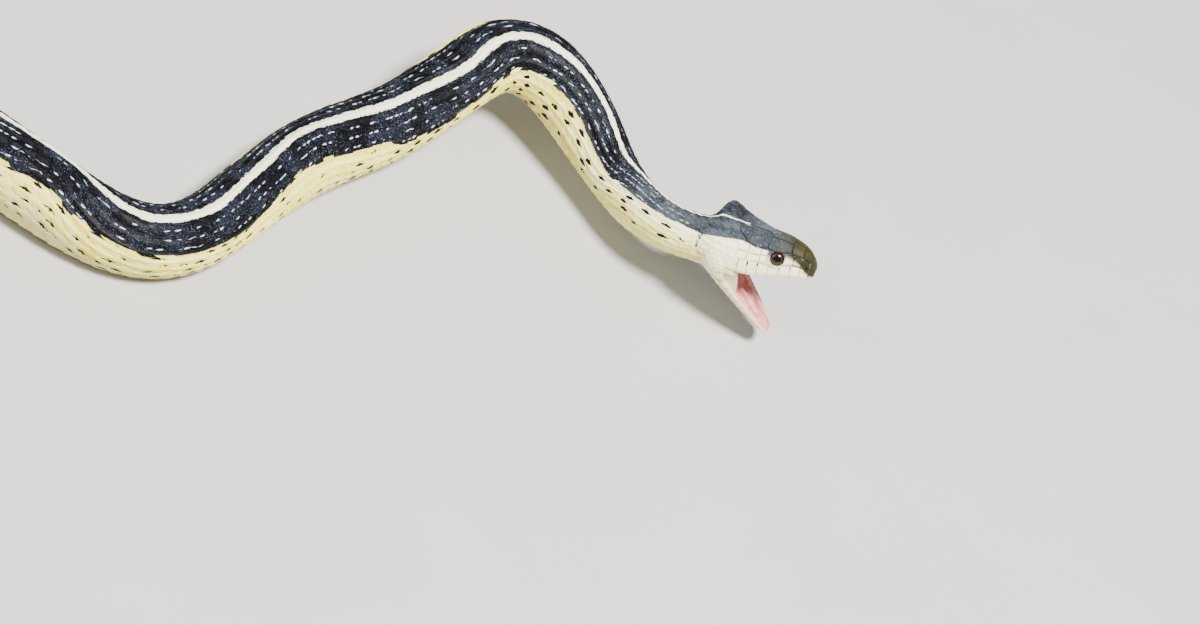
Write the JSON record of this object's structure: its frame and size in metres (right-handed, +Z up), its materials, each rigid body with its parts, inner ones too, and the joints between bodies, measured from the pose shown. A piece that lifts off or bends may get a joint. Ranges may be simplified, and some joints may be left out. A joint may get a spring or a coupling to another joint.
{
  "type": "garter snake",
  "caption": "Life-size garter snake lying in slow bends, with one low arch, its head lifted and mouth open; pale stripes run along a dark back.",
  "frame": {"origin": "middle of the floor space that the lying animal covers, at the level of the floor", "axes": "+X runs from the tail's end towards the snout, +Z is up, and the open mouth's right side faces -Y"},
  "size_m": [0.3514, 0.135, 0.032],
  "materials": {
    "skin_dark": "satin keeled scales, near black with a blue tint",
    "skin_pale": "satin cream yellow scutes and stripes",
    "mouth": "wet pink lining",
    "eye": "clear wet gloss over a red-brown iris and a round black pupil"
  },
  "bodies": {
    "root": {"head": "skin_dark", "lower_jaw": "skin_pale", "eye_left": "eye", "eye_right": "eye", "neck": "skin_dark", "body_1": "skin_dark", "body_2": "skin_dark", "body_3": "skin_dark", "body_4": "skin_dark", "body_5": "skin_dark", "body_6": "skin_dark", "body_7": "skin_dark", "body_8": "skin_dark", "body_9": "skin_dark", "tail_1": "skin_dark", "tail_2": "skin_dark", "tail_3": "skin_dark"}
  },
  "joints": []
}
